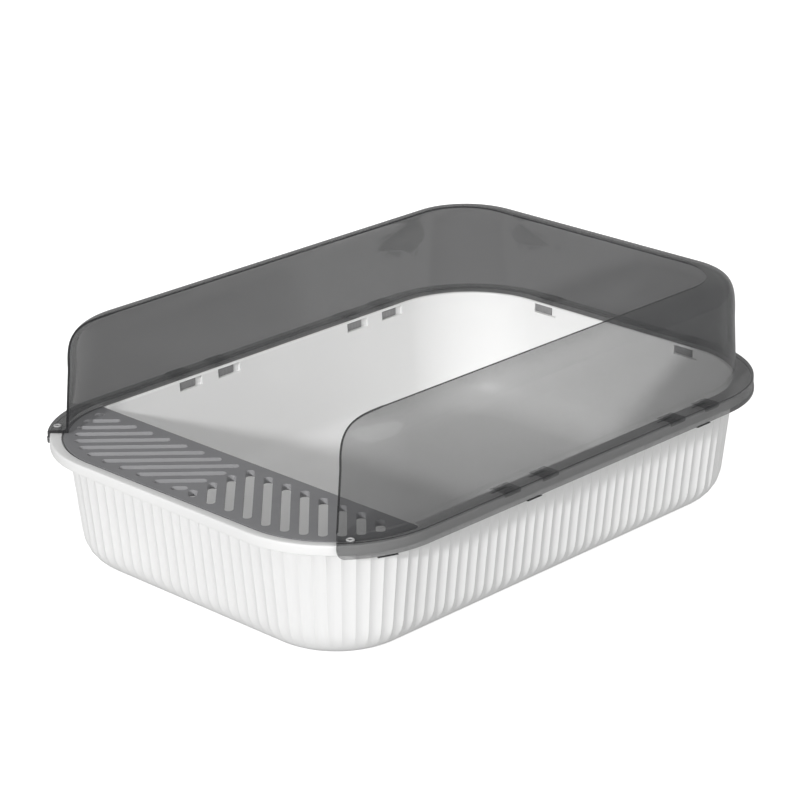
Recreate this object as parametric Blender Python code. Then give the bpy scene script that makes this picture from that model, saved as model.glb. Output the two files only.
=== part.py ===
"""An open-top cat litter box: a deep tray, a smoked splash hood round three sides, and a slotted step plate."""

import math

import bmesh
import bpy
from mathutils import Matrix, Vector

# Driving dimensions, in metres. X runs across the box, +Y to its back, and Z up from the floor.
RIM_HALF_WIDTH = 0.2085
RIM_HALF_LENGTH = 0.300
RIM_CORNER = 0.104
RIM_HEIGHT = 0.118
CORNER_STEPS = 9
GAP = 0.0003  # air between pieces that touch

# Tray: insets are measured inwards from the rim's outer edge, drops downwards from its top.
WALL = 0.0025
LIP_DROP = 0.009
LIP_WALL = 0.0022
RIM_FLAT = 0.0105
LEDGE_DROP = 0.0042
NECK_INSET = 0.0151
BODY_DRAFT = 0.11
FLOOR_RADIUS = 0.034

# Hood
FOOT_THICKNESS = 0.0027
SKIRT_INSET = -0.0005
SKIRT_WALL = 0.0017
SKIRT_DROP = 0.0115
HOOD_WALL = 0.0025
WALL_INSET = 0.0143
WALL_LEAN = 0.069
CURL_START = 0.0565
HOOD_HEIGHT = 0.0985
CURL_REACH = 0.0423
BACK_EXTRA = 0.0108
OPENING_CORNER = 0.0485
END_ANGLE = math.radians(45)
END_SLOPE = 0.1
END_ROUND_HEIGHT = 0.027
END_ROUND_LENGTH = 0.040

# Step plate
PLATE_INSET = 0.0120
PLATE_THICKNESS = 0.0030
PLATE_BACK = -0.194
SLOT_MARGIN = 0.0100
SLOT_BACK_MARGIN = 0.0123
SLOT_WIDTH = 0.0080
SLOT_PITCH = 0.0156
SLOT_COUNT = 12
SLOT_FIRST = 0.1874
SLOT_OVERRUN = 0.0012
SLOT_SHORTEST = 0.0035
DIVIDER_WIDTH = 0.0075
DIVIDER_PLACE = 0.00375

# Clips: a head on the hood's foot, a stem through it and a tongue in the tray's pocket.
CLIP_LENGTH = 0.0200
CLIP_SIDE_PLACES = (-0.095, -0.047, 0.123, 0.171)
CLIP_BACK_PLACES = (-0.088, 0.088)
HEAD_INSETS = (0.0040, 0.0138)
HEAD_HEIGHT = 0.0015
STEM_INSETS = (0.0120, 0.0138)
TONGUE_INSETS = (0.0120, 0.0150)
TONGUE_DROP = 0.0100
POCKET_INSET = 0.0114
POCKET_DROP = 0.0108
POCKET_LENGTH = 0.0270
POCKET_SHIFT = 0.0030

# Locating pegs
PEG_INSET = 0.0051
PEG_ANGLE = math.radians(38.4)
PEG_RADIUS = 0.0034
PEG_BORE = 0.0013
PEG_SIDES = 24


def clear_scene():
    for obj in list(bpy.data.objects):
        bpy.data.objects.remove(obj, do_unlink=True)


def plastic(name, colour, roughness, alpha=1.0):
    material = bpy.data.materials.new(name)
    material.use_nodes = True
    shader = material.node_tree.nodes["Principled BSDF"]
    shader.inputs["Base Color"].default_value = (*colour, 1.0)
    shader.inputs["Roughness"].default_value = roughness
    shader.inputs["Alpha"].default_value = alpha
    return material


def finish(bm, name, material):
    """Make an object of the bmesh, with its faces pointing out and its round parts smooth."""
    bmesh.ops.recalc_face_normals(bm, faces=bm.faces)
    mesh = bpy.data.meshes.new(name)
    bm.to_mesh(mesh)
    bm.free()
    obj = bpy.data.objects.new(name, mesh)
    bpy.context.scene.collection.objects.link(obj)
    if material:
        mesh.materials.append(material)
        mesh.shade_smooth()
        mesh.set_sharp_from_angle(angle=math.radians(35))
    return obj


def as_helper(obj):
    obj.hide_render = True
    obj.display_type = "WIRE"
    return obj


def add_boolean(obj, helper, operation):
    modifier = obj.modifiers.new(helper.name, "BOOLEAN")
    modifier.operation = operation
    modifier.object = helper
    modifier.solver = "EXACT"


def corner_point(x_sign, y_sign, radius, angle, half_width, half_length):
    """A point on a corner's arc. The angle runs from the side (0) to the front or back (90 degrees)."""
    x = half_width - radius + radius * math.cos(angle)
    y = half_length - radius + radius * math.sin(angle)
    return x_sign * x, y_sign * y


def ring_points(inset):
    """The rounded rectangle at this inset, anticlockwise from the front right corner."""
    half_width = RIM_HALF_WIDTH - inset
    half_length = RIM_HALF_LENGTH - inset
    radius = RIM_CORNER - inset
    points = []
    for x_sign, y_sign in ((1, -1), (1, 1), (-1, 1), (-1, -1)):
        steps = range(CORNER_STEPS + 1)
        if x_sign * y_sign < 0:
            steps = reversed(steps)
        for step in steps:
            angle = math.pi / 2 * step / CORNER_STEPS
            points.append(corner_point(x_sign, y_sign, radius, angle, half_width, half_length))
    return points


def add_ring(bm, inset, height):
    verts = [bm.verts.new((x, y, height)) for x, y in ring_points(inset)]
    return [bm.edges.new((verts[i - 1], verts[i])) for i in range(len(verts))]


def move_ring(verts, inset, height):
    """Bring a ring's verts to another inset and height, each along its own line from its corner's centre."""
    for vert in verts:
        centre_x = math.copysign(RIM_HALF_WIDTH - RIM_CORNER, vert.co.x)
        centre_y = math.copysign(RIM_HALF_LENGTH - RIM_CORNER, vert.co.y)
        outwards = Vector((vert.co.x - centre_x, vert.co.y - centre_y)).normalized()
        radius = RIM_CORNER - inset
        vert.co = (centre_x + outwards.x * radius, centre_y + outwards.y * radius, height)


def loft(bm, profile):
    """A skin through the rings of (inset, height), closed by a cap at each end."""
    ring = add_ring(bm, *profile[0])
    bmesh.ops.contextual_create(bm, geom=ring)
    for inset, height in profile[1:]:
        grown = bmesh.ops.extrude_edge_only(bm, edges=ring)["geom"]
        verts = {item for item in grown if isinstance(item, bmesh.types.BMVert)}
        ring = [edge for edge in bm.edges if verts.issuperset(edge.verts)]
        move_ring(verts, inset, height)
    bmesh.ops.contextual_create(bm, geom=ring)


def arc(centre, radius, start, end, steps):
    """Points of an arc in the profile's plane, at angles in degrees."""
    points = []
    for step in range(steps + 1):
        angle = math.radians(start + (end - start) * step / steps)
        points.append((centre[0] + radius * math.cos(angle), centre[1] + radius * math.sin(angle)))
    return points


def body_wall(offset, top):
    """The body's outer skin (offset 0) or inner skin (offset WALL), from its floor up to the height top."""
    draft = math.degrees(math.atan(BODY_DRAFT))
    outer_foot = NECK_INSET + BODY_DRAFT * (RIM_HEIGHT - FLOOR_RADIUS)
    centre = (outer_foot + FLOOR_RADIUS, FLOOR_RADIUS)
    radius = FLOOR_RADIUS - offset
    skin = arc(centre, radius, 270, 180 + draft, 6)
    inset, height = skin[-1]
    skin.append((inset - BODY_DRAFT * (top - height), top))
    return skin


def tray_profile():
    """The tray's section: up the outside, over the lip and rim, down the step and the inside."""
    ledge = RIM_HEIGHT - LEDGE_DROP
    lip_low = RIM_HEIGHT - LIP_DROP
    inner = body_wall(WALL, ledge - 0.0015)
    profile = body_wall(0, ledge - WALL)
    profile += [(RIM_FLAT - WALL, ledge - WALL), (RIM_FLAT - WALL, RIM_HEIGHT - WALL)]
    profile += [(LIP_WALL, RIM_HEIGHT - WALL), (LIP_WALL, lip_low), (0.0004, lip_low)]
    profile += [(0, lip_low + 0.0004), (0, RIM_HEIGHT - 0.0014), (0.0014, RIM_HEIGHT)]
    profile += [(RIM_FLAT - 0.0004, RIM_HEIGHT), (RIM_FLAT, RIM_HEIGHT - 0.0004), (RIM_FLAT, ledge)]
    profile += [(inner[-1][0] - 0.0015, ledge)]
    return profile + inner[::-1]


def add_box(bm, low, high, place=Matrix.Identity(4)):
    size = Vector(high) - Vector(low)
    centre = (Vector(high) + Vector(low)) / 2
    shape = place @ Matrix.Translation(centre) @ Matrix.Diagonal((*size, 1))
    return bmesh.ops.create_cube(bm, size=1, matrix=shape)["verts"]


def clip_places():
    """Each clip's name and its transform, which puts the rim's edge at x = 0 with x running inwards."""
    places = []
    for side, sign in (("left", -1), ("right", 1)):
        turn = Matrix.Identity(4) if sign < 0 else Matrix.Diagonal((-1, 1, 1, 1))
        for number, y in enumerate(CLIP_SIDE_PLACES, 1):
            edge = Matrix.Translation((sign * RIM_HALF_WIDTH, y, RIM_HEIGHT))
            places.append((f"clip_{side}_{number}", edge @ turn))
    for side, x in zip(("left", "right"), CLIP_BACK_PLACES):
        edge = Matrix.Translation((x, RIM_HALF_LENGTH, RIM_HEIGHT))
        places.append((f"clip_back_{side}", edge @ Matrix.Rotation(math.radians(-90), 4, "Z")))
    return places


def boxes_at_clips(name, low, high, shift=0.0):
    """One helper object with the same box at each clip. The corners are (inset, along the rim, height)."""
    bm = bmesh.new()
    for _, place in clip_places():
        add_box(bm, low, high, place @ Matrix.Translation((0, shift, 0)))
    return as_helper(finish(bm, name, None))


def make_tray(material):
    bm = bmesh.new()
    loft(bm, tray_profile())
    tray = finish(bm, "tray", material)
    half = POCKET_LENGTH / 2
    housing_low = (POCKET_INSET - 0.0020, -half - 0.0020, -POCKET_DROP - 0.0020)
    housing_high = (NECK_INSET + 0.0018, half + 0.0020, -LEDGE_DROP - 0.0010)
    housings = boxes_at_clips("pocket_housings", housing_low, housing_high, POCKET_SHIFT)
    pocket_low = (POCKET_INSET, -half, -POCKET_DROP)
    pocket_high = (NECK_INSET + 0.0060, half, 0.0010)
    pockets = boxes_at_clips("pockets", pocket_low, pocket_high, POCKET_SHIFT)
    add_boolean(tray, housings, "UNION")
    add_boolean(tray, pockets, "DIFFERENCE")
    return tray


def hood_outer_skin():
    """The hood's outer skin as (inset, height above the rim), from the foot up to the opening's edge."""
    skin = [(WALL_INSET, FOOT_THICKNESS + GAP)]
    skin.append((WALL_INSET + WALL_LEAN * (CURL_START - 0.003), CURL_START))
    start = skin[-1][0]
    steps = 7
    for step in range(1, steps + 1):
        angle = math.pi / 2 * step / steps
        reach = (1 - math.cos(angle)) ** 1.6
        height = CURL_START + (HOOD_HEIGHT - CURL_START) * math.sin(angle)
        skin.append((start + (CURL_REACH - start) * reach, height))
    return skin


def hood_section():
    """The hood's closed section: outer skin up to the opening's edge, then down the inside and round the foot."""
    outer = hood_outer_skin()
    inner = []
    for here, after in zip(outer, outer[1:]):
        along = (Vector(after) - Vector(here)).normalized()
        inner.append((here[0] + HOOD_WALL * along.y, here[1] - HOOD_WALL * along.x))
    inner[0] = (inner[0][0], GAP)
    edge = (CURL_REACH, HOOD_HEIGHT - HOOD_WALL * 0.8)
    foot_top = FOOT_THICKNESS + GAP
    skirt_out = SKIRT_INSET - SKIRT_WALL
    skirt = [(SKIRT_INSET, GAP), (SKIRT_INSET, -SKIRT_DROP), (skirt_out, -SKIRT_DROP)]
    skirt += [(skirt_out, foot_top - 0.0012), (skirt_out + 0.0012, foot_top)]
    return outer + [edge] + inner[::-1] + skirt


def end_reach(height):
    """How far in front of the corner's centre the hood's end lies at this height above the rim."""
    foot = (RIM_CORNER - WALL_INSET) * math.sin(END_ANGLE)
    reach = foot - END_SLOPE * max(height, 0)
    rise = (height - (HOOD_HEIGHT - END_ROUND_HEIGHT)) / END_ROUND_HEIGHT
    if rise > 0:
        reach -= END_ROUND_LENGTH * (1 - math.sqrt(max(0, 1 - rise**2)))
    return reach


def hood_station(inset, height, part, share):
    """A point of the hood's right half at this inset and height. The share runs from 0 to 1 along each part."""
    climb = max(0, inset - WALL_INSET) / (CURL_REACH - WALL_INSET)
    radius = RIM_CORNER - max(inset, SKIRT_INSET - SKIRT_WALL)
    back_inset = inset + BACK_EXTRA * climb
    back_radius = radius + (OPENING_CORNER - radius) * climb
    x = RIM_HALF_WIDTH - inset
    if part == "front":
        end = END_ANGLE
        if inset >= WALL_INSET and height > 0:
            end = math.asin(min(1, end_reach(height) / radius))
        angle = end * (1 - share)
        return corner_point(1, -1, radius, angle, x, RIM_HALF_LENGTH - inset)
    half_back = RIM_HALF_LENGTH - back_inset
    if part == "side":
        start = -(RIM_HALF_LENGTH - RIM_CORNER)
        return x, start + (half_back - back_radius - start) * share
    return corner_point(1, 1, back_radius, math.pi / 2 * share, x, half_back)


def make_hood(material):
    section = hood_section()
    stations = [("front", step / 6) for step in range(7)]
    stations += [("side", 1.0)]
    stations += [("corner", step / CORNER_STEPS) for step in range(1, CORNER_STEPS + 1)]
    bm = bmesh.new()
    rows = []
    for sign, order in ((1, stations), (-1, stations[::-1])):
        for part, share in order:
            row = []
            for inset, height in section:
                x, y = hood_station(inset, height, part, share)
                row.append(bm.verts.new((sign * x, y, RIM_HEIGHT + height)))
            rows.append([bm.edges.new((row[i - 1], row[i])) for i in range(len(row))])
    for first, second in zip(rows, rows[1:]):
        bmesh.ops.bridge_loops(bm, edges=first + second)
    for row in (rows[0], rows[-1]):
        bmesh.ops.contextual_create(bm, geom=row)
    hood = finish(bm, "hood", material)
    half = CLIP_LENGTH / 2 + GAP
    slot_low = (STEM_INSETS[0] - GAP, -half, -0.0010)
    slot_high = (STEM_INSETS[1] + GAP, half, 0.0060)
    add_boolean(hood, boxes_at_clips("clip_slots", slot_low, slot_high), "DIFFERENCE")
    holes = bmesh.new()
    for sign in (-1, 1):
        add_cylinder(holes, peg_place(sign), PEG_RADIUS + 0.0005, -0.0020, 0.0060)
    add_boolean(hood, as_helper(finish(holes, "peg_holes", None)), "DIFFERENCE")
    return hood


def peg_place(sign):
    radius = RIM_CORNER - PEG_INSET
    half_length = RIM_HALF_LENGTH - PEG_INSET
    return corner_point(sign, -1, radius, PEG_ANGLE, RIM_HALF_WIDTH - PEG_INSET, half_length)


def add_cylinder(bm, place, radius, low, high):
    """A closed cylinder between two heights above the rim."""
    centre = Matrix.Translation((*place, RIM_HEIGHT + (low + high) / 2))
    bmesh.ops.create_cone(
        bm,
        cap_ends=True,
        segments=PEG_SIDES,
        radius1=radius,
        radius2=radius,
        depth=high - low,
        matrix=centre,
    )


def make_peg(name, sign, material):
    """A short tube that stands on the rim and passes through the hood's foot."""
    bm = bmesh.new()
    low = GAP
    high = FOOT_THICKNESS + 3 * GAP
    place = Matrix.Translation((*peg_place(sign), RIM_HEIGHT))
    circles = []
    for radius, height in ((PEG_RADIUS, low), (PEG_RADIUS, high), (PEG_BORE, high), (PEG_BORE, low)):
        level = place @ Matrix.Translation((0, 0, height))
        circle = bmesh.ops.create_circle(bm, segments=PEG_SIDES, radius=radius, matrix=level)
        circles.append(list({edge for vert in circle["verts"] for edge in vert.link_edges}))
    for first, second in zip(circles, circles[1:] + circles[:1]):
        bmesh.ops.bridge_loops(bm, edges=first + second)
    return finish(bm, name, material)


def outline_prism(bm, inset, low, high, cuts):
    """A flat prism of the rounded outline, trimmed at planes given as (point, direction of the side removed)."""
    ring = add_ring(bm, inset, low)
    face = bmesh.ops.contextual_create(bm, geom=ring)["faces"]
    raised = bmesh.ops.extrude_face_region(bm, geom=face)["geom"]
    verts = [item for item in raised if isinstance(item, bmesh.types.BMVert)]
    bmesh.ops.translate(bm, vec=(0, 0, high - low), verts=verts)
    for point, away in cuts:
        everything = bm.verts[:] + bm.edges[:] + bm.faces[:]
        cut = bmesh.ops.bisect_plane(bm, geom=everything, plane_co=point, plane_no=away, clear_outer=True)
        edges = [item for item in cut["geom_cut"] if isinstance(item, bmesh.types.BMEdge)]
        bmesh.ops.contextual_create(bm, geom=edges)


def in_slot_region(point, sign):
    """Whether a point lies inside the plate's plain margin, on this side of the divider."""
    margin = PLATE_INSET + SLOT_MARGIN
    if sign * (point.x - DIVIDER_PLACE) < DIVIDER_WIDTH / 2 or point.y > PLATE_BACK - SLOT_BACK_MARGIN:
        return False
    across = max(0.0, abs(point.x) - (RIM_HALF_WIDTH - RIM_CORNER))
    along = max(0.0, abs(point.y) - (RIM_HALF_LENGTH - RIM_CORNER))
    return math.hypot(across, along) < RIM_CORNER - margin


def slot_cutter(name, sign, low, high):
    """Diagonal slots with round ends on one side of the divider, ending where the plate's plain margin begins."""
    bm = bmesh.new()
    turn = Matrix.Translation((DIVIDER_PLACE, 0, 0)) @ Matrix.Rotation(sign * math.radians(-45), 4, "Z")
    for number in range(SLOT_COUNT):
        offset = SLOT_PITCH * number - SLOT_FIRST
        marks = [step * 0.0005 for step in range(-700, 701)]
        inside = [mark for mark in marks if in_slot_region(turn @ Vector((mark, offset, 0)), sign)]
        if not inside:
            continue
        start, end = inside[0] - SLOT_OVERRUN, inside[-1] + SLOT_OVERRUN
        width = min(SLOT_WIDTH, end - start)
        if width < SLOT_SHORTEST:
            continue
        corners = add_box(bm, (start, offset - width / 2, low), (end, offset + width / 2, high), turn)
        upright = {edge for vert in corners for edge in vert.link_edges if is_upright(edge)}
        bmesh.ops.bevel(
            bm,
            geom=list(upright),
            offset=width * 0.49,
            offset_type="OFFSET",
            segments=4,
            profile=0.5,
            affect="EDGES",
            material=-1,
        )
    return as_helper(finish(bm, name, None))


def is_upright(edge):
    span = edge.verts[0].co - edge.verts[1].co
    return abs(span.z) > 0.9 * span.length


def make_plate(material):
    low = RIM_HEIGHT - LEDGE_DROP + GAP
    high = low + PLATE_THICKNESS
    bm = bmesh.new()
    outline_prism(bm, PLATE_INSET, low, high, [((0, PLATE_BACK, 0), (0, 1, 0))])
    plate = finish(bm, "step_plate", material)
    for name, sign in (("slots_left", -1), ("slots_right", 1)):
        add_boolean(plate, slot_cutter(name, sign, low - 0.002, high + 0.002), "DIFFERENCE")
    return plate


def make_clip(name, place, material):
    """A clip's side view, walked round once and extruded along the rim."""
    foot_top = FOOT_THICKNESS + 2 * GAP
    below_foot = 0.0
    nose = TONGUE_INSETS[0] + 0.0008
    outline = [
        (HEAD_INSETS[0], foot_top),
        (STEM_INSETS[0], foot_top),
        (STEM_INSETS[0], below_foot),
        (TONGUE_INSETS[0], -TONGUE_DROP + 0.0016),
        (nose, -TONGUE_DROP),
        (TONGUE_INSETS[1], -TONGUE_DROP),
        (TONGUE_INSETS[1], below_foot),
        (STEM_INSETS[1], below_foot),
        (HEAD_INSETS[1], foot_top + HEAD_HEIGHT),
        (HEAD_INSETS[0] + 0.0006, foot_top + HEAD_HEIGHT),
        (HEAD_INSETS[0], foot_top + HEAD_HEIGHT - 0.0006),
    ]
    bm = bmesh.new()
    verts = [bm.verts.new((inset, -CLIP_LENGTH / 2, height)) for inset, height in outline]
    face = bm.faces.new(verts)
    pulled = bmesh.ops.extrude_face_region(bm, geom=[face])["geom"]
    moved = [item for item in pulled if isinstance(item, bmesh.types.BMVert)]
    bmesh.ops.translate(bm, vec=(0, CLIP_LENGTH, 0), verts=moved)
    bmesh.ops.transform(bm, matrix=place, verts=bm.verts)
    return finish(bm, name, material)


def main():
    clear_scene()
    white = plastic("white_plastic", (0.86, 0.86, 0.85), 0.35)
    smoked = plastic("smoked_plastic", (0.09, 0.09, 0.095), 0.08, alpha=0.6)
    grey = plastic("grey_plastic", (0.17, 0.175, 0.185), 0.5)
    dark = plastic("dark_plastic", (0.07, 0.07, 0.075), 0.25)
    make_tray(white)
    make_hood(smoked)
    make_plate(grey)
    for name, place in clip_places():
        make_clip(name, place, dark)
    for name, sign in (("locating_peg_left", -1), ("locating_peg_right", 1)):
        make_peg(name, sign, white)


main()
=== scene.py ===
import math

import bmesh
import bpy
from mathutils import Matrix, Vector


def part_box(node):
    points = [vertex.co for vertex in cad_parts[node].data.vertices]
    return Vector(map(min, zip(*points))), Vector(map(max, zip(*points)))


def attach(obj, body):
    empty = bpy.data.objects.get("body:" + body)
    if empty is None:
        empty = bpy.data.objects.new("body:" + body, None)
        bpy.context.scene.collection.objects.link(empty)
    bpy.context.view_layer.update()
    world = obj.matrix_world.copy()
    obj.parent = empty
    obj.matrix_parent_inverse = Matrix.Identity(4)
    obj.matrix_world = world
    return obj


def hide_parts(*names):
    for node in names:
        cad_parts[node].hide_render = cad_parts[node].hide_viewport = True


print("loading the packed box")
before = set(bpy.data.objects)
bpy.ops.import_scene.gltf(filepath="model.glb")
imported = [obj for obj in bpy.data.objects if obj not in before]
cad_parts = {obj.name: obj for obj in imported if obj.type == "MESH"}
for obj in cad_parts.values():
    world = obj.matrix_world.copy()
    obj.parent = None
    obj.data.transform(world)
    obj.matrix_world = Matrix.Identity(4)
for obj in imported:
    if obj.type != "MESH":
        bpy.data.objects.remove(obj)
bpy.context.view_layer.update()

trayLow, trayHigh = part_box("tray")
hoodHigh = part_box("hood")[1]
plateLow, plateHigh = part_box("step_plate")
halfWidth = trayHigh.x
halfLength = trayHigh.y
rimTop = trayHigh.z

# Everything round the box is laid out from the rim: "inset" is measured inwards from the rim's
# outer edge, "height" up from the rim's top face.
rim = {
    "corner": 0.104,
    "lipDrop": 0.009,
    "lipWall": 0.0022,
    "flat": 0.0104,
    "ledgeDrop": 0.0042,
    "ledgeEdge": 0.0015,
    "flatSlope": 0.0010,
    "outerEdge": 0.0016,
    "innerEdge": 0.0006,
}
coreX = halfWidth - rim["corner"]
coreY = halfLength - rim["corner"]


pegNames = ("locating_peg_left", "locating_peg_right")
pegSpec = {
    "radius": 0.0036,
    "bore": 0.0019,
    "boreDepth": 0.0010,
    "edge": 0.0005,
    "boreEdge": 0.0004,
    "play": 0.0004,
    "sharpAngle": 35,
}
weldDistance = 0.000005


def boxCentre(name):
    low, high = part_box(name)
    return (low + high) / 2


def shadeSmooth(mesh, sharpAngle):
    mesh.shade_smooth()
    mesh.set_sharp_from_angle(angle=math.radians(sharpAngle))


def newObject(bm, name, material, sharpAngle=30):
    bmesh.ops.remove_doubles(bm, verts=bm.verts, dist=weldDistance)
    bmesh.ops.recalc_face_normals(bm, faces=bm.faces)
    mesh = bpy.data.meshes.new(name)
    bm.to_mesh(mesh)
    bm.free()
    mesh.materials.append(material)
    shadeSmooth(mesh, sharpAngle)
    obj = bpy.data.objects.new(name, mesh)
    bpy.context.scene.collection.objects.link(obj)
    return obj


def arcPoints(centre, radius, start, end, steps):
    # points of an arc in a section, angles in degrees
    points = []
    for step in range(steps + 1):
        angle = math.radians(start + (end - start) * step / steps)
        points.append((centre[0] + radius * math.cos(angle), centre[1] + radius * math.sin(angle)))
    return points


def extrudeEdges(bm, edges):
    # pulls a copy of the edges and returns (new verts, new edges)
    grown = bmesh.ops.extrude_edge_only(bm, edges=edges)["geom"]
    verts = [item for item in grown if isinstance(item, bmesh.types.BMVert)]
    members = set(verts)
    edges = [item for item in grown if isinstance(item, bmesh.types.BMEdge)]
    return verts, [edge for edge in edges if members.issuperset(edge.verts)]


def rankedRing(bm, count):
    # a ring whose verts carry their number, so that each extruded copy can be put in order
    rank = bm.verts.layers.int.new("rank")
    ring = bmesh.ops.create_circle(bm, segments=count, radius=0.1)["verts"]
    for number, vert in enumerate(ring):
        vert[rank] = number
    return rank, ring


def applyModifiers(obj):
    # swaps the mesh for its evaluated self, so that the piece needs none of its cutters
    graph = bpy.context.evaluated_depsgraph_get()
    mesh = bpy.data.meshes.new_from_object(obj.evaluated_get(graph))
    old = obj.data
    obj.modifiers.clear()
    obj.data = mesh
    mesh.name = old.name
    bpy.data.meshes.remove(old)


def cutWith(obj, cutter, operation="DIFFERENCE"):
    modifier = obj.modifiers.new(cutter.name, "BOOLEAN")
    modifier.operation = operation
    modifier.object = cutter
    modifier.solver = "EXACT"
    bpy.context.view_layer.update()
    applyModifiers(obj)
    bpy.data.objects.remove(cutter, do_unlink=True)


def addBlock(bm, low, high, place=Matrix.Identity(4)):
    size = Vector(high) - Vector(low)
    centre = (Vector(high) + Vector(low)) / 2
    shape = place @ Matrix.Translation(centre) @ Matrix.Diagonal((*size, 1))
    return bmesh.ops.create_cube(bm, size=1, matrix=shape)["verts"]


def addPost(bm, centre, radius, low, high):
    place = Matrix.Translation((centre.x, centre.y, (low + high) / 2))
    bmesh.ops.create_cone(
        bm, cap_ends=True, segments=32, radius1=radius, radius2=radius, depth=high - low, matrix=place
    )


def startMaterial(name):
    material = bpy.data.materials.new(name)
    material.use_nodes = True
    tree = material.node_tree
    return material, tree, tree.nodes["Principled BSDF"]


def objectNoise(tree, scale, detail):
    place = tree.nodes.new("ShaderNodeTexCoord")
    noise = tree.nodes.new("ShaderNodeTexNoise")
    noise.inputs["Scale"].default_value = scale
    noise.inputs["Detail"].default_value = detail
    tree.links.new(place.outputs["Object"], noise.inputs["Vector"])
    return noise.outputs["Fac"]


def addNoise(tree, scale, detail, low, high):
    # noise over the piece, mapped to a range
    spread = tree.nodes.new("ShaderNodeMapRange")
    spread.inputs["From Min"].default_value = 0.3
    spread.inputs["From Max"].default_value = 0.7
    spread.inputs["To Min"].default_value = low
    spread.inputs["To Max"].default_value = high
    tree.links.new(objectNoise(tree, scale, detail), spread.inputs["Value"])
    return spread.outputs["Result"]


def addBump(tree, shader, scale, distance, strength):
    bump = tree.nodes.new("ShaderNodeBump")
    bump.inputs["Distance"].default_value = distance
    bump.inputs["Strength"].default_value = strength
    tree.links.new(objectNoise(tree, scale, 2), bump.inputs["Height"])
    tree.links.new(bump.outputs["Normal"], shader.inputs["Normal"])


def mixColours(tree, factor, first, second):
    mix = tree.nodes.new("ShaderNodeMix")
    mix.data_type = "RGBA"
    mix.inputs["A"].default_value = (*first, 1)
    mix.inputs["B"].default_value = (*second, 1)
    tree.links.new(factor, mix.inputs["Factor"])
    return mix.outputs["Result"]


def makeWhitePlastic():
    look = {
        "colour": (0.80, 0.80, 0.795),
        "shade": (0.775, 0.775, 0.772),
        "roughness": (0.36, 0.44),
        "ior": 1.46,
    }
    material, tree, shader = startMaterial("whitePlastic")
    patches = addNoise(tree, 9, 3, 0, 1)
    tree.links.new(mixColours(tree, patches, look["colour"], look["shade"]), shader.inputs["Base Color"])
    tree.links.new(addNoise(tree, 60, 2, *look["roughness"]), shader.inputs["Roughness"])
    shader.inputs["IOR"].default_value = look["ior"]
    addBump(tree, shader, 1400, 0.00002, 0.3)
    return material


def makeSmokedPlastic():
    look = {
        "colour": (0.030, 0.031, 0.033),
        "roughness": (0.045, 0.055),
        "ior": 1.75,
        "faceOn": 0.29,
        "edgeOn": 0.54,
        "slantBlend": 0.35,
    }
    material, tree, shader = startMaterial("smokedPlastic")
    shader.inputs["Base Color"].default_value = (*look["colour"], 1)
    shader.inputs["IOR"].default_value = look["ior"]
    tree.links.new(addNoise(tree, 6, 0, *look["roughness"]), shader.inputs["Roughness"])
    # a slanted look goes through more plastic, so it's darker
    slant = tree.nodes.new("ShaderNodeLayerWeight")
    slant.inputs["Blend"].default_value = look["slantBlend"]
    depth = tree.nodes.new("ShaderNodeMapRange")
    depth.inputs["To Min"].default_value = look["faceOn"]
    depth.inputs["To Max"].default_value = look["edgeOn"]
    tree.links.new(slant.outputs["Facing"], depth.inputs["Value"])
    tree.links.new(depth.outputs["Result"], shader.inputs["Alpha"])
    return material


def makeDenseSmoke(name, look):
    # smoked plastic where it's looked at along its thickness, so little light comes through; the pegs'
    # bore floors use one of these as painted shade
    material, tree, shader = startMaterial(name)
    patches = addNoise(tree, 40, 2, 0, 1)
    tree.links.new(mixColours(tree, patches, look["colour"], look["shade"]), shader.inputs["Base Color"])
    shader.inputs["Alpha"].default_value = look["alpha"]
    tree.links.new(addNoise(tree, 120, 2, *look["roughness"]), shader.inputs["Roughness"])
    return material


def makeMattPlastic(name, look):
    material, tree, shader = startMaterial(name)
    patches = addNoise(tree, 25, 3, 0, 1)
    tree.links.new(mixColours(tree, patches, look["colour"], look["shade"]), shader.inputs["Base Color"])
    tree.links.new(addNoise(tree, 80, 2, *look["roughness"]), shader.inputs["Roughness"])
    addBump(tree, shader, 1600, 0.00003, 0.35)
    return material


smokeLooks = {
    # the hood's thick smoked edges; the pegs' bore floors use it too, as painted shade
    "smokedEdgeAndBoreShade": {
        "colour": (0.022, 0.022, 0.024),
        "shade": (0.028, 0.028, 0.030),
        "roughness": (0.1, 0.16),
        "alpha": 0.88,
    },
    "clipTongue": {
        "colour": (0.26, 0.26, 0.262),
        "shade": (0.22, 0.22, 0.222),
        "roughness": (0.3, 0.4),
        "alpha": 1.0,
    },
    "clipHead": {
        "colour": (0.03, 0.031, 0.033),
        "shade": (0.035, 0.036, 0.038),
        "roughness": (0.1, 0.16),
        "alpha": 0.24,
    },
}
mattLooks = {
    "greyPlastic": {
        "colour": (0.226, 0.226, 0.234),
        "shade": (0.211, 0.211, 0.219),
        "roughness": (0.42, 0.52),
    },
    # the plate's own grey made lighter for the slots' walls: painted light, for the key light falling on
    # them
    "slotWallPaintedLight": {
        "colour": (0.33, 0.33, 0.338),
        "shade": (0.31, 0.31, 0.318),
        "roughness": (0.42, 0.52),
    },
    "pegPlastic": {
        "colour": (0.50, 0.50, 0.50),
        "shade": (0.46, 0.46, 0.46),
        "roughness": (0.35, 0.42),
    },
}
traySpec = {
    "wall": 0.0025,
    "neckInset": 0.0151,
    "draft": 0.11,
    "floorRadius": 0.034,
    "fluteDepth": 0.0015,
    "fluteTop": -0.0150,
    "fluteStep": 0.0007,
    "frontFlutes": (0.00525, 0.0122, 9),
    "cornerFlutes": 12,
    "sideFlutes": (0.00592, 0.01184, 15),
    "sideSpread": 0.0035,
    "cornerArcInset": 0.017,
    "stepsPerFlute": 6,
    "floorRing": 0.125,
    "levelBehind": 0.0006,
    "sharpAngle": 24,
}


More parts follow.
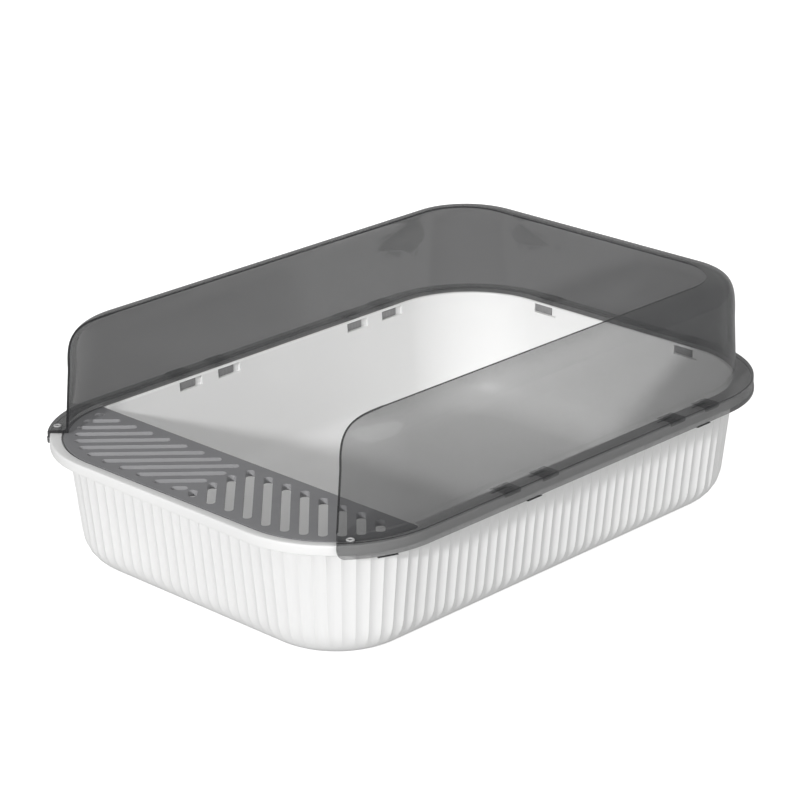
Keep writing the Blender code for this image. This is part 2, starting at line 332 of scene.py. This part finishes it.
def fluteRidges():
    # distances of the ridges along a quarter of the body, from the middle of the front to the
    # middle of the side, with the corner taken as an arc of this length
    arc = (rim["corner"] - traySpec["cornerArcInset"]) * math.pi / 2
    start, pitch, count = traySpec["frontFlutes"]
    ridges = [start + pitch * number for number in range(count)]
    start, pitch, count = traySpec["sideFlutes"]
    quarter = coreX + arc + coreY
    side = []
    for number in range(count + 1):
        spread = traySpec["sideSpread"] * (number / count) ** 4
        side.append(quarter - start - pitch * number - spread)
    first = ridges[-1]
    last = side[-1]
    count = traySpec["cornerFlutes"]
    ridges += [first + (last - first) * number / count for number in range(1, count)]
    return ridges + side[::-1], arc, quarter


def trayOutline():
    # (core point, outward direction, place across the flute) all the way round
    ridges, arc, quarter = fluteRidges()
    marks = [-ridges[0]] + ridges + [2 * quarter - ridges[-1]]
    steps = traySpec["stepsPerFlute"]
    run = []
    for here, after in zip(marks, marks[1:]):
        for step in range(steps):
            run.append((here + (after - here) * step / steps, step / steps))
    half = steps // 2
    run = run[half : len(run) - half + 1]
    places = []
    for distance, share in run:
        if distance < coreX:
            places.append((distance, -coreY, 0, -1, share))
        elif distance < coreX + arc:
            angle = (distance - coreX) / arc * math.pi / 2
            places.append((coreX, -coreY, math.sin(angle), -math.cos(angle), share))
        else:
            places.append((coreX, min(0, distance - coreX - arc - coreY), 1, 0, share))
    back = [(x, -y, outX, -outY, share) for x, y, outX, outY, share in places[-2::-1]]
    right = places + back
    left = [(-x, y, -outX, outY, share) for x, y, outX, outY, share in right[-2:0:-1]]
    return right + left


def traySection():
    # (inset, height, how much of the flute shows) from under the floor, up the outside, and down
    # inside. The ledge's points also have a place level with the rim, for where there's no plate.
    spec = traySpec
    bottom = -rimTop
    draft = math.degrees(math.atan(spec["draft"]))
    footInset = spec["neckInset"] + spec["draft"] * (rimTop - spec["floorRadius"])
    centre = (footInset + spec["floorRadius"], bottom + spec["floorRadius"])
    outside = arcPoints(centre, spec["floorRadius"], 270, 180 + draft, 10)
    section = [(spec["floorRing"], bottom, 0)]
    fades = (0, 0, 0, 0, 0.04, 0.15, 0.35, 0.6, 0.82, 0.95, 1)
    section += [(inset, height, fade) for (inset, height), fade in zip(outside, fades)]
    lean = spec["draft"]
    inset, height = outside[-1]
    for upper in (-0.060, -0.035, spec["fluteTop"] - spec["fluteStep"]):
        section.append((inset - lean * (upper - height), upper, 1))
    neck = inset - lean * (spec["fluteTop"] - height) + spec["fluteDepth"]
    section.append((neck, spec["fluteTop"], 0))
    drop = -rim["ledgeDrop"]
    under = drop - spec["wall"]
    section += [(neck - 0.0006, -0.0105, 0), (neck - 0.0008, under - 0.0012, 0)]
    section.append((neck - 0.0020, under, 0))
    step = rim["flat"] - spec["wall"]
    section += [(step + 0.0006, under, 0), (step, under + 0.0006, 0), (step, -spec["wall"], 0)]
    lip = rim["lipWall"]
    lipEnd = -rim["lipDrop"]
    section += [(lip, -spec["wall"], 0), (lip, lipEnd + 0.0004, 0), (lip - 0.0004, lipEnd, 0)]
    section += [(0.0005, lipEnd, 0), (0.0001, lipEnd + 0.0004, 0), (0, lipEnd + 0.0012, 0)]
    edge = rim["outerEdge"]
    section += [(inset, height, 0) for inset, height in arcPoints((edge, -edge), edge, 180, 90, 5)]
    edge = rim["innerEdge"]
    for inset, height in arcPoints((rim["flat"] - edge, -edge), edge, 90, 0, 3):
        section.append((inset, height - rim["flatSlope"], 0, (inset, 0)))
    inner = spec["floorRadius"] - spec["wall"]
    inside = arcPoints(centre, inner, 270, 180 + draft, 12)
    inset, height = inside[-1]
    end = inset - lean * (drop - height)
    ledge = [(rim["flat"] + 0.0001, drop + 0.0003), (rim["flat"] + 0.0004, drop)]
    ledge += [(end - back, drop) for back in (0.0024, 0.0021, 0.0018, 0.0015, 0.0012)]
    ledge += [(end - 0.0004, drop - 0.0003), (end + 0.0001, drop - 0.0011)]
    edge = rim["ledgeEdge"]
    level = [(rim["flat"] + 0.0010, 0), (rim["flat"] + 0.0020, 0)]
    level += arcPoints((end - edge, -edge), edge, 90, 0, 5)
    level.append((end, -0.0042))
    section += [(inset, height, 0, raised) for (inset, height), raised in zip(ledge, level)]
    for lower in (-0.016, -0.045):
        section.append((inset - lean * (lower - height), lower, 0))
    section += [(inset, height, 0) for inset, height in inside[::-1]]
    section.append((spec["floorRing"], bottom + spec["wall"], 0))
    return section


def placeTrayRing(verts, outline, section):
    for vert, (x, y, outX, outY, share) in zip(verts, outline):
        inset, height, fluted = section[:3]
        across = y + outY * (rim["corner"] - inset)
        if len(section) > 3 and across > plateHigh.y + traySpec["levelBehind"]:
            inset, height = section[3]
        groove = traySpec["fluteDepth"] * fluted * (1 - (2 * share - 1) ** 2)
        radius = rim["corner"] - inset - groove
        if radius < 0:
            # inside the corner's centre the ring shrinks towards the middle of the floor
            vert.co = (x * (1 + radius / coreX), y * (1 + radius / coreY), rimTop + height)
        else:
            vert.co = (x + outX * radius, y + outY * radius, rimTop + height)


def makeTray(material):
    outline = trayOutline()
    bm = bmesh.new()
    rank, ring = rankedRing(bm, len(outline))
    section = traySection()
    placeTrayRing(ring, outline, section[0])
    edges = bm.edges[:]
    bmesh.ops.contextual_create(bm, geom=edges)
    for part in section[1:]:
        verts, edges = extrudeEdges(bm, edges)
        verts.sort(key=lambda vert: vert[rank])
        placeTrayRing(verts, outline, part)
    bmesh.ops.contextual_create(bm, geom=edges)
    tray = newObject(bm, "trayShell", material, traySpec["sharpAngle"])
    cutPockets(tray)
    return tray


clipSpec = {
    "length": 0.0200,
    "ribs": 5,
    "ribDepth": 0.0004,
    "tongue": (0.0125, 0.0172),
    "tongueTop": -0.0004,
    "drop": 0.0098,
    "head": (-0.0027, 0.0139),
    "headLow": 0.0,
    "headTop": 0.0037,
    "headThickness": 0.0003,
    "pocketInset": 0.0158,
    "pocketDrop": 0.0104,
    "pocketLength": 0.0275,
    "pocketShift": 0.0036,
    "slotInset": 0.0114,
    "slotEnd": 0.0142,
    "play": 0.0003,
    "housingWall": 0.0020,
    "stepsPerRib": 4,
    "sharpAngle": 35,
}


def clipPlaces():
    # where each clip stands: its own frame has the rim's edge at x = 0 and x running inwards
    places = {}
    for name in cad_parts:
        if not name.startswith("clip"):
            continue
        centre = boxCentre(name)
        if "back" in name:
            edge = Matrix.Translation((centre.x, halfLength, rimTop))
            places[name] = edge @ Matrix.Rotation(math.radians(-90), 4, "Z")
        else:
            edge = Matrix.Translation((math.copysign(halfWidth, centre.x), centre.y, rimTop))
            places[name] = edge @ Matrix.Diagonal((-math.copysign(1, centre.x), 1, 1, 1))
    return places


def cutPockets(tray):
    spec = clipSpec
    wall = spec["housingWall"]
    slotLow = spec["slotInset"]
    neck = traySpec["neckInset"]
    bottom = -spec["pocketDrop"]
    tongueHalf = spec["length"] / 2 + spec["play"]
    pocketHalf = spec["pocketLength"] / 2
    top = -rim["ledgeEdge"] - 0.0002
    housings = bmesh.new()
    pockets = bmesh.new()
    slots = bmesh.new()
    for place in clipPlaces().values():
        along = place @ Matrix.Translation((0, spec["pocketShift"], 0))
        low = (slotLow - wall, -pocketHalf - wall, bottom - wall)
        high = (neck + 0.0018, pocketHalf + wall, -rim["ledgeDrop"] - 0.0010)
        addBlock(housings, low, high, along)
        low = (spec["pocketInset"], -pocketHalf, bottom)
        addBlock(pockets, low, (neck + 0.0060, pocketHalf, top), along)
        low = (slotLow, -tongueHalf, -0.0060)
        addBlock(slots, low, (spec["slotEnd"], tongueHalf, 0.0010), place)
        low = (slotLow, -tongueHalf, bottom + 0.0001)
        addBlock(slots, low, (neck + 0.0050, tongueHalf, top - 0.0001), place)
    for name in pegNames:
        addPost(slots, boxCentre(name), pegSpec["bore"], rimTop - 0.0060, rimTop + 0.0010)
    plastic = tray.data.materials[0]
    cutWith(tray, newObject(housings, "housings", plastic), "UNION")
    cutWith(tray, newObject(pockets, "pockets", plastic))
    cutWith(tray, newObject(slots, "clipSlots", plastic))
    shadeSmooth(tray.data, traySpec["sharpAngle"])


def addExtruded(bm, outline, length, steps):
    # a closed bar of this side view, centred on y = 0
    verts = [bm.verts.new((inset, -length / 2, height)) for inset, height in outline]
    faces = [bm.faces.new(verts)]
    edges = list(faces[0].edges)
    for step in range(1, steps + 1):
        fresh, edges = extrudeEdges(bm, edges)
        verts += fresh
        for vert in fresh:
            vert.co.y = -length / 2 + length * step / steps
    bmesh.ops.contextual_create(bm, geom=edges)
    return verts


def makeClip(name, place, material, headMaterial):
    # a ribbed tongue in the tray's pocket, and a thin head over the hood's foot and its edge
    spec = clipSpec
    outer, inner = spec["tongue"]
    top, drop = spec["tongueTop"], spec["drop"]
    tongue = [
        (outer, top),
        (outer, -drop + 0.0016),
        (outer + 0.0008, -drop),
        (inner - 0.0008, -drop),
        (inner, -drop + 0.0010),
        (inner, -0.0026),
        (inner - 0.0012, -0.0020),
        (inner - 0.0030, -0.0018),
        (outer + 0.0016, -0.0016),
        (outer + 0.0016, top),
    ]
    out, end = spec["head"]
    high = spec["headTop"]
    thin = spec["headThickness"]
    head = [
        (out + thin, spec["headLow"]),
        (out + thin, high - thin - 0.0012),
        (out + thin + 0.0012, high - thin),
        (end, high - thin),
        (end, high - 0.0001),
        (end - 0.0001, high),
        (out + 0.0014, high),
        (out, high - 0.0014),
        (out, spec["headLow"]),
    ]
    bm = bmesh.new()
    for vert in addExtruded(bm, tongue, spec["length"], spec["ribs"] * spec["stepsPerRib"]):
        if vert.co.x > inner - 0.0001:
            phase = (vert.co.y / spec["length"] + 0.5) * spec["ribs"]
            vert.co.x -= spec["ribDepth"] * (1 - abs(math.sin(math.pi * phase)))
    for vert in addExtruded(bm, head, spec["length"], 2):
        for face in vert.link_faces:
            face.material_index = 1
    bmesh.ops.transform(bm, matrix=place, verts=bm.verts)
    clip = newObject(bm, name.replace("clip", "ribbedClip"), material, spec["sharpAngle"])
    clip.data.materials.append(headMaterial)
    return clip


hoodSpec = {
    "wall": 0.0020,
    "footTop": 0.0030,
    "footUnder": 0.0003,
    "footBend": 0.0020,
    "skirtInner": -0.0005,
    "skirtOuter": -0.0022,
    "skirtDrop": 0.0115,
    "bandHeight": 0.0040,
    "bandFlare": 0.0006,
    "wallInset": 0.0143,
    "lean": 0.069,
    "curlStart": 0.0565,
    "curlReach": 0.0423,
    "curlPower": 1.608,
    "curlSteps": 20,
    "backExtra": 0.0108,
    "openingCorner": 0.0485,
    "endAngle": math.radians(45),
    "endLean": 0.0022,
    "skirtCorner": 0.0080,
    "skirtSqueeze": 0.3,
    "catchPlaces": (-0.067, 0.160),
    "catchLength": 0.0180,
    "catchHeight": 0.0007,
    "catchTurn": -22,
    "sharpAngle": 35,
}
hoodTop = hoodHigh.z - rimTop


def hoodOuterSkin():
    spec = hoodSpec
    bend = spec["footBend"]
    foot = spec["footTop"]
    skin = arcPoints((spec["wallInset"] - bend, foot + bend), bend, 270, 360, 4)
    start = spec["wallInset"] + spec["lean"] * (spec["curlStart"] - foot)
    for share in (0.35, 0.7, 1.0):
        height = foot + bend + (spec["curlStart"] - foot - bend) * share
        skin.append((spec["wallInset"] + spec["lean"] * (height - foot - bend), height))
    for step in range(1, spec["curlSteps"] + 1):
        angle = math.pi / 2 * step / spec["curlSteps"]
        reach = (1 - math.cos(angle)) ** spec["curlPower"]
        height = spec["curlStart"] + (hoodTop - spec["curlStart"]) * math.sin(angle)
        skin.append((start + (spec["curlReach"] - start) * reach, height))
    return skin


def hoodSection():
    spec = hoodSpec
    outer = hoodOuterSkin()
    inner = []
    for before, here, after in zip(outer[3:], outer[4:], outer[5:] + [outer[-1]]):
        along = (Vector(after) - Vector(before)).normalized()
        inner.append((here[0] + spec["wall"] * along.y, here[1] - spec["wall"] * along.x))
    reach = spec["curlReach"]
    innerTop = hoodTop - spec["wall"]
    inner[-1] = (reach - 0.0004, innerTop)
    edge = [(reach + 0.0003, hoodTop - 0.0004), (reach + 0.0003, innerTop + 0.0004)]
    innerFoot = inner[0][0]
    under = spec["footUnder"]
    inner = [(innerFoot, under + 0.0003), (innerFoot, spec["footTop"])] + inner
    bottom = -spec["skirtDrop"]
    band = bottom + spec["bandHeight"]
    skirtIn, skirtOut = spec["skirtInner"], spec["skirtOuter"]
    bandOut = skirtOut - spec["bandFlare"]
    skirt = [(innerFoot - 0.0003, under), (skirtIn + 0.0004, under), (skirtIn, under - 0.0004)]
    skirt += [(skirtIn, bottom + 0.0003), (skirtIn - 0.0003, bottom), (skirtOut + 0.0003, bottom)]
    skirt += [(bandOut, bottom + 0.0006), (bandOut, band - 0.0008), (skirtOut, band)]
    skirt += arcPoints((skirtOut + 0.0012, spec["footTop"] - 0.0012), 0.0012, 180, 90, 4)
    return outer + edge + inner[::-1] + skirt


def hoodPoint(inset, height, part, share):
    # a point of the right half: part is front corner, side or back corner, share runs along it
    spec = hoodSpec
    climb = max(0, inset - spec["wallInset"]) / (spec["curlReach"] - spec["wallInset"])
    radius = rim["corner"] - inset
    x = halfWidth - inset
    if part == "front":
        end = spec["endAngle"]
        if inset >= spec["wallInset"] - 0.0001 and height > spec["footTop"]:
            # the curled wall stops at one upright plane, square to the box's front
            wallRadius = rim["corner"] - spec["wallInset"]
            endPlace = wallRadius * math.cos(end) - spec["endLean"] * climb
            end = math.acos(endPlace / radius)
        angle = end * (1 - share)
        run = end * share * radius
        if height < 0 and run < spec["skirtCorner"]:
            rounding = spec["skirtCorner"] - run
            lift = spec["skirtCorner"] - math.sqrt(max(0, spec["skirtCorner"] ** 2 - rounding**2))
            squeezed = (height + spec["skirtDrop"]) * spec["skirtSqueeze"]
            height = max(height, -spec["skirtDrop"] + lift + squeezed)
        return coreX + radius * math.cos(angle), -coreY - radius * math.sin(angle), height
    backInset = inset + spec["backExtra"] * climb
    backRadius = radius + (spec["openingCorner"] - radius) * climb
    halfBack = halfLength - backInset
    if part == "side":
        return x, -coreY + (halfBack - backRadius + coreY) * share, height
    angle = math.pi / 2 * share
    return (
        x - backRadius + backRadius * math.cos(angle),
        halfBack - backRadius + backRadius * math.sin(angle),
        height,
    )


def hoodStations():
    # (side of the box, part, share) from the right front end round to the left one
    front = [0, 0.004, 0.012, 0.025, 0.045, 0.07, 0.1, 0.14, 0.2, 0.28]
    front += [0.37, 0.46, 0.55, 0.64, 0.73, 0.82, 0.91, 1]
    stations = [("front", share) for share in front]
    stations += [("side", step / 8) for step in range(1, 9)]
    stations += [("back", step / 24) for step in range(1, 25)]
    right = [(1, part, share) for part, share in stations]
    left = [(-1, part, share) for part, share in stations[::-1]]
    return right + left


def addCatches(bm):
    # small tabs under the skirt's lower edge, which hold it on the rim
    spec = hoodSpec
    half = spec["catchLength"] / 2
    low = (spec["skirtOuter"] - spec["bandFlare"], -half, -spec["skirtDrop"] - spec["catchHeight"])
    high = (spec["skirtInner"] - 0.0004, half, -spec["skirtDrop"] - 0.00005)
    for sign in (-1, 1):
        turn = Matrix.Diagonal((-sign, 1, 1, 1))
        places = []
        for y in spec["catchPlaces"]:
            places.append(Matrix.Translation((sign * halfWidth, y, rimTop)) @ turn)
        swing = Matrix.Rotation(sign * math.radians(spec["catchTurn"]), 4, "Z")
        corner = Matrix.Translation((sign * coreX, -coreY, rimTop)) @ swing
        places.append(corner @ Matrix.Translation((sign * rim["corner"], 0, 0)) @ turn)
        for place in places:
            for vert in addBlock(bm, low, high, place):
                for face in vert.link_faces:
                    face.material_index = 1


def makeHood(material, edgeMaterial):
    section = hoodSection()
    bm = bmesh.new()
    rank, verts = rankedRing(bm, len(section))
    edges = bm.edges[:]
    for number, (sign, part, share) in enumerate(hoodStations()):
        if number:
            verts, edges = extrudeEdges(bm, edges)
            verts.sort(key=lambda vert: vert[rank])
        for vert, (inset, height) in zip(verts, section):
            x, y, level = hoodPoint(inset, height, part, share)
            vert.co = (sign * x, y, rimTop + level)
        if not number:
            bmesh.ops.contextual_create(bm, geom=edges)
    bmesh.ops.contextual_create(bm, geom=edges)
    # the end caps, the opening's edge and the foot's outer edge are seen through more plastic
    lip = len(hoodOuterSkin())
    footEdge = len(section) - 3
    for face in bm.faces:
        ranks = [vert[rank] for vert in face.verts]
        onLip = min(ranks) >= lip and max(ranks) <= lip + 1
        if len(ranks) > 4 or onLip or min(ranks) >= footEdge:
            face.material_index = 1
    addCatches(bm)
    hood = newObject(bm, "smokedHood", material, hoodSpec["sharpAngle"])
    hood.data.materials.append(edgeMaterial)
    cutHoodHoles(hood)
    return hood


def cutHoodHoles(hood):
    holes = bmesh.new()
    radius = pegSpec["radius"] + pegSpec["play"]
    for name in pegNames:
        addPost(holes, boxCentre(name), radius, rimTop - 0.003, rimTop + 0.007)
    cutWith(hood, newObject(holes, "hoodHoles", hood.data.materials[0]))
    shadeSmooth(hood.data, hoodSpec["sharpAngle"])


plateSpec = {
    "inset": 0.0120,
    "slotMargin": 0.0100,
    "slotBackMargin": 0.0123,
    "slotWidth": 0.0080,
    "slotPitch": 0.0156,
    "slotFirst": 0.1874,
    "slotCount": 12,
    "dividerWidth": 0.0075,
    "dividerPlace": 0.00375,
    "slotOverrun": 0.0012,
    "slotShortest": 0.0035,
    "slotRound": 0.49,
    "slotAngle": -45,
    "slotBelow": 0.006,
    "slotAbove": 0.002,
    "markStep": 0.0005,
    "markCount": 700,
    "ribInset": 0.0190,
    "ribDrop": 0.0026,
    "ribOverlap": 0.0010,
    "ribBackInset": 0.0003,
    "outlineSteps": 24,
    "edge": 0.0004,
    "edgeAngle": 50,
    "sharpAngle": 35,
}


def outlineSlab(bm, inset, low, high, cuts):
    # a flat slab of the rounded outline, trimmed at planes of (point, side taken away)
    segments = plateSpec["outlineSteps"] * 4
    circle = bmesh.ops.create_circle(bm, segments=segments, radius=1, cap_ends=True)["verts"]
    radius = rim["corner"] - inset
    for vert in circle:
        out = vert.co.xy.normalized()
        centreX = coreX if out.x >= 0 else -coreX
        centreY = coreY if out.y >= 0 else -coreY
        vert.co = (centreX + out.x * radius, centreY + out.y * radius, low)
    grown = bmesh.ops.extrude_face_region(bm, geom=bm.faces[:])["geom"]
    raised = [item for item in grown if isinstance(item, bmesh.types.BMVert)]
    bmesh.ops.translate(bm, vec=(0, 0, high - low), verts=raised)
    for point, away in cuts:
        everything = bm.verts[:] + bm.edges[:] + bm.faces[:]
        cut = bmesh.ops.bisect_plane(
            bm, geom=everything, plane_co=point, plane_no=away, clear_outer=True
        )
        edges = [item for item in cut["geom_cut"] if isinstance(item, bmesh.types.BMEdge)]
        bmesh.ops.contextual_create(bm, geom=edges)


def inSlotRegion(point, sign):
    spec = plateSpec
    if sign * (point.x - spec["dividerPlace"]) < spec["dividerWidth"] / 2:
        return False
    if point.y > plateHigh.y - spec["slotBackMargin"]:
        return False
    across = max(0, abs(point.x) - coreX)
    along = max(0, abs(point.y) - coreY)
    return math.hypot(across, along) < rim["corner"] - spec["inset"] - spec["slotMargin"]


def makeSlots(sign, low, high, material):
    # diagonal slots with round ends on one side of the divider
    spec = plateSpec
    bm = bmesh.new()
    slant = Matrix.Rotation(sign * math.radians(spec["slotAngle"]), 4, "Z")
    turn = Matrix.Translation((spec["dividerPlace"], 0, 0)) @ slant
    marks = [step * spec["markStep"] for step in range(-spec["markCount"], spec["markCount"] + 1)]
    for number in range(spec["slotCount"]):
        middle = spec["slotPitch"] * number - spec["slotFirst"]
        inside = [mark for mark in marks if inSlotRegion(turn @ Vector((mark, middle, 0)), sign)]
        if not inside:
            continue
        start = inside[0] - spec["slotOverrun"]
        end = inside[-1] + spec["slotOverrun"]
        width = min(spec["slotWidth"], end - start)
        if width < spec["slotShortest"]:
            continue
        first = (start, middle - width / 2, low)
        corners = addBlock(bm, first, (end, middle + width / 2, high), turn)
        upright = {edge for vert in corners for edge in vert.link_edges if isUpright(edge)}
        bmesh.ops.bevel(
            bm,
            geom=list(upright),
            offset=width * spec["slotRound"],
            offset_type="OFFSET",
            segments=8,
            profile=0.5,
            affect="EDGES",
            material=-1,
        )
    # the slots' walls take the second, lighter grey: painted light on them
    for face in bm.faces:
        face.material_index = 1
    return newObject(bm, "slots", material)


def isUpright(edge):
    span = edge.verts[0].co - edge.verts[1].co
    return abs(span.z) > 0.9 * span.length


def makePlate(material, slotLightMaterial):
    spec = plateSpec
    low, high = plateLow.z, plateHigh.z
    bm = bmesh.new()
    outlineSlab(bm, spec["inset"], low, high, [((0, plateHigh.y, 0), (0, 1, 0))])
    plate = newObject(bm, "slottedPlate", material, spec["sharpAngle"])
    ribs = bmesh.new()
    back = ((0, plateHigh.y - spec["ribBackInset"], 0), (0, 1, 0))
    outlineSlab(ribs, spec["ribInset"], low - spec["ribDrop"], low + spec["ribOverlap"], [back])
    cutWith(plate, newObject(ribs, "ribSlab", material), "UNION")
    # the second material is the lighter grey painted on the slots' walls as painted light
    plate.data.materials.append(slotLightMaterial)
    for sign in (-1, 1):
        bottom, top = low - spec["slotBelow"], high + spec["slotAbove"]
        cutWith(plate, makeSlots(sign, bottom, top, material))
    edge = plate.modifiers.new("edge", "BEVEL")
    edge.width = spec["edge"]
    edge.segments = 2
    edge.limit_method = "ANGLE"
    edge.angle_limit = math.radians(spec["edgeAngle"])
    shadeSmooth(plate.data, spec["sharpAngle"])
    return plate


def makePeg(name, material, boreShadeMaterial):
    # a short tube with a shallow bore whose floor is dark: painted shade for a deep hole
    low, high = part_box(name)
    centre = boxCentre(name)
    foot, top = low.z - rim["flatSlope"], high.z
    outer, edge = pegSpec["radius"], pegSpec["edge"]
    bore, boreEdge = pegSpec["bore"], pegSpec["boreEdge"]
    section = [(outer, foot), (outer, top - edge), (outer - edge, top), (bore + boreEdge, top)]
    section += [(bore, top - boreEdge), (bore, top - pegSpec["boreDepth"])]
    bm = bmesh.new()
    circle = bmesh.ops.create_circle(bm, segments=48, radius=outer, cap_ends=True)["verts"]
    bmesh.ops.translate(bm, vec=(0, 0, foot), verts=circle)
    edges = bm.edges[:]
    for radius, height in section[1:]:
        verts, edges = extrudeEdges(bm, edges)
        for vert in verts:
            vert.co = (*(vert.co.xy.normalized() * radius), height)
    floor = bmesh.ops.contextual_create(bm, geom=edges)["faces"]
    # the bore's floor takes the dark smoked material as painted shade
    floor[0].material_index = 1
    bmesh.ops.translate(bm, vec=(centre.x, centre.y, 0), verts=bm.verts)
    peg = newObject(bm, name.replace("locating_peg", "tubePeg"), material, pegSpec["sharpAngle"])
    peg.data.materials.append(boreShadeMaterial)
    return peg


stageSpec = {
    "floor": 0.60,
    # the floor's darker grey where it's seen through the hood is painted shade
    "shadeThroughHood": 0.36,
    "glow": 0.85,
    "roughness": 0.9,
    "size": 15,
    "gap": 0.0002,
    "world": 0.40,
}
sunSpecs = {
    "key": {"azimuth": 17, "elevation": 22, "angle": 4, "strength": 2.36},
    "fill": {"azimuth": 97, "elevation": 25, "angle": 60, "strength": 0.94},
}
cameraSpec = {
    "place": (1.71207, -1.77563, 1.07519),
    "azimuth": 44.14,
    "elevation": 21.17,
    "roll": -0.48,
    "lens": 132.28,
}


def addMath(tree, operation, first, second):
    node = tree.nodes.new("ShaderNodeMath")
    node.operation = operation
    for slot, value in zip(node.inputs, (first, second)):
        if isinstance(value, (int, float)):
            slot.default_value = value
        else:
            tree.links.new(value, slot)
    return node.outputs["Value"]


def makeStage():
    # the floor glows for the camera alone, so that it's plain white in the open, and its light on the
    # box stays soft. Seen through the smoked plastic it doesn't glow and takes a darker grey: painted
    # shade behind the hood
    material, tree, shader = startMaterial("paleFloor")
    path = tree.nodes.new("ShaderNodeLightPath")
    camera = path.outputs["Is Camera Ray"]
    behindSmoke = addMath(tree, "GREATER_THAN", path.outputs["Transparent Depth"], 0.5)
    through = addMath(tree, "MULTIPLY", behindSmoke, camera)
    plain, paintedShadeGrey = (stageSpec["floor"],) * 3, (stageSpec["shadeThroughHood"],) * 3
    tree.links.new(mixColours(tree, through, plain, paintedShadeGrey), shader.inputs["Base Color"])
    direct = addMath(tree, "SUBTRACT", camera, through)
    glow = addMath(tree, "MULTIPLY", direct, stageSpec["glow"])
    shader.inputs["Emission Color"].default_value = (1, 1, 1, 1)
    tree.links.new(glow, shader.inputs["Emission Strength"])
    shader.inputs["Roughness"].default_value = stageSpec["roughness"]
    shader.inputs["Specular IOR Level"].default_value = 0.0
    bm = bmesh.new()
    bmesh.ops.create_grid(bm, x_segments=2, y_segments=2, size=stageSpec["size"])
    bmesh.ops.translate(bm, vec=(0, 0, trayLow.z - stageSpec["gap"]), verts=bm.verts)
    floor = newObject(bm, "floor", material)


def makeRoom():
    # the camera sees a white room, and the box gets less light from it
    world = bpy.data.worlds.new("paleRoom")
    world.use_nodes = True
    bpy.context.scene.world = world
    room = world.node_tree
    sky = room.nodes["Background"]
    sky.inputs["Color"].default_value = (1, 1, 1, 1)
    camera = room.nodes.new("ShaderNodeLightPath").outputs["Is Camera Ray"]
    room.links.new(addMath(room, "MAXIMUM", camera, stageSpec["world"]), sky.inputs["Strength"])


def makeSuns():
    for name, spec in sunSpecs.items():
        lamp = bpy.data.lights.new(name, "SUN")
        lamp.energy = spec["strength"]
        lamp.angle = math.radians(spec["angle"])
        sun = bpy.data.objects.new(name, lamp)
        turn = Matrix.Rotation(math.radians(spec["azimuth"]), 4, "Z")
        sun.matrix_world = turn @ Matrix.Rotation(math.radians(90 - spec["elevation"]), 4, "X")
        bpy.context.scene.collection.objects.link(sun)


def makeCamera():
    lens = bpy.data.cameras.new("view")
    lens.lens = cameraSpec["lens"]
    lens.sensor_width = 36
    lens.clip_end = 100
    camera = bpy.data.objects.new("view", lens)
    turn = Matrix.Rotation(math.radians(cameraSpec["azimuth"]), 4, "Z")
    tilt = Matrix.Rotation(math.radians(90 - cameraSpec["elevation"]), 4, "X")
    roll = Matrix.Rotation(math.radians(cameraSpec["roll"]), 4, "Z")
    camera.matrix_world = Matrix.Translation(cameraSpec["place"]) @ turn @ tilt @ roll
    bpy.context.scene.collection.objects.link(camera)
    bpy.context.scene.camera = camera


bpy.context.scene.view_settings.view_transform = "Standard"
print("stage, light and camera")
makeStage()
makeRoom()
makeSuns()
makeCamera()

whitePlastic = makeWhitePlastic()
smokedPlastic = makeSmokedPlastic()
smokes = {name: makeDenseSmoke(name, look) for name, look in smokeLooks.items()}
matts = {name: makeMattPlastic(name, look) for name, look in mattLooks.items()}

print("tray")
tray = makeTray(whitePlastic)
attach(tray, "tray")
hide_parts("tray")

print("hood")
hood = makeHood(smokedPlastic, smokes["smokedEdgeAndBoreShade"])
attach(hood, "hood")
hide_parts("hood")

print("step plate")
plate = makePlate(matts["greyPlastic"], matts["slotWallPaintedLight"])
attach(plate, "step_plate")
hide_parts("step_plate")

print("clips and pegs")
for clipName, clipPlace in clipPlaces().items():
    clip = makeClip(clipName, clipPlace, smokes["clipTongue"], smokes["clipHead"])
    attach(clip, "hood")
    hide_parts(clipName)
for pegName in pegNames:
    peg = makePeg(pegName, matts["pegPlastic"], smokes["smokedEdgeAndBoreShade"])
    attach(peg, "tray")
    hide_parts(pegName)
